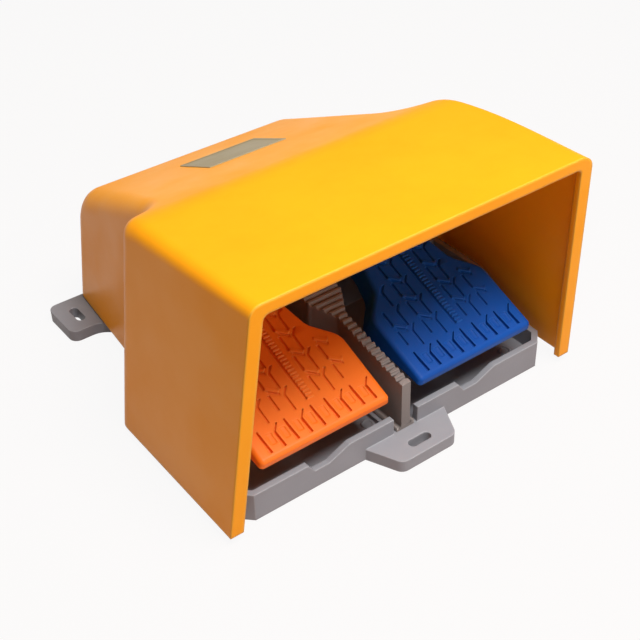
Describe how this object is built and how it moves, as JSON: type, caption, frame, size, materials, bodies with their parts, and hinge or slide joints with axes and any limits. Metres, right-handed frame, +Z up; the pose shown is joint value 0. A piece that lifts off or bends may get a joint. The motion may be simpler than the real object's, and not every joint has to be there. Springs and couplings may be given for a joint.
{
  "type": "twin-pedal foot switch",
  "caption": "Hooded industrial foot switch with two ribbed treadles side by side, a toothed divider and a slotted base tray; each treadle works its own contact block.",
  "frame": {"origin": "centre of the base tray's underside, where it rests on the floor", "axes": "+Z up; +Y to the rear, where the cable gland is; +X to the right as the user faces the pedals"},
  "size_m": [0.2554, 0.2768, 0.159],
  "materials": {
    "hood_plastic": "satin yellow moulding",
    "orange_plastic": "satin",
    "blue_plastic": "satin",
    "grey_plastic": "moulded, fine grain",
    "plate": "brushed, blank",
    "steel": "zinc plated",
    "spring_steel": "oiled",
    "rubber": "matt",
    "switch_plastic": "matt",
    "bush_plastic": "smooth",
    "contact_metal": "plain",
    "gland_plastic": "satin"
  },
  "bodies": {
    "frame": {"base_tray": "grey_plastic", "pedal_divider": "grey_plastic", "hood": "hood_plastic", "name_plate": "plate", "axle_left": "steel", "axle_right": "steel", "axle_clips": "steel", "stop_bumpers": "rubber", "return_spring_left": "spring_steel", "return_spring_right": "spring_steel", "switch_housing_left": "switch_plastic", "switch_housing_right": "switch_plastic", "switch_cover_left": "switch_plastic", "switch_cover_right": "switch_plastic", "fixed_contacts_left": "contact_metal", "fixed_contacts_right": "contact_metal", "plunger_spring_left": "spring_steel", "plunger_spring_right": "spring_steel", "terminal_screws": "steel", "switch_screws": "steel", "cover_screws": "steel", "hood_screws": "steel", "divider_screws": "steel", "gland_body": "gland_plastic", "gland_seal": "rubber", "gland_cap_nut": "gland_plastic", "gland_locknut": "gland_plastic"},
    "left_pedal": {"pedal_left": "orange_plastic", "pedal_bushes_left": "bush_plastic"},
    "right_pedal": {"pedal_right": "blue_plastic", "pedal_bushes_right": "bush_plastic"},
    "left_plunger": {"plunger_left": "bush_plastic", "contact_bridge_left": "contact_metal"},
    "right_plunger": {"plunger_right": "bush_plastic", "contact_bridge_right": "contact_metal"}
  },
  "joints": [
    {"name": "left_pedal_hinge", "type": "hinge", "parent": "frame", "child": "left_pedal", "pos_m": [-0.0556, 0.008, 0.072], "axis": [1, 0, 0], "range_deg": [0, 8], "stiffness_Nm_per_rad": 8, "springref_deg": -8.59, "deforming": ["return_spring_left"]},
    {"name": "left_plunger_slide", "type": "slide", "parent": "frame", "child": "left_plunger", "axis": [0, 1, 0], "range_m": [0, 0.0042], "deforming": ["plunger_spring_left"]},
    {"name": "right_pedal_hinge", "type": "hinge", "parent": "frame", "child": "right_pedal", "pos_m": [0.0556, 0.008, 0.072], "axis": [1, 0, 0], "range_deg": [0, 8], "stiffness_Nm_per_rad": 8, "springref_deg": -8.59, "deforming": ["return_spring_right"]},
    {"name": "right_plunger_slide", "type": "slide", "parent": "frame", "child": "right_plunger", "axis": [0, 1, 0], "range_m": [0, 0.0042], "deforming": ["plunger_spring_right"]}
  ],
  "couplings": [
    {"joint": "left_plunger_slide", "follows": "left_pedal_hinge", "m_per_rad": 0.03},
    {"joint": "right_plunger_slide", "follows": "right_pedal_hinge", "m_per_rad": 0.03}
  ]
}
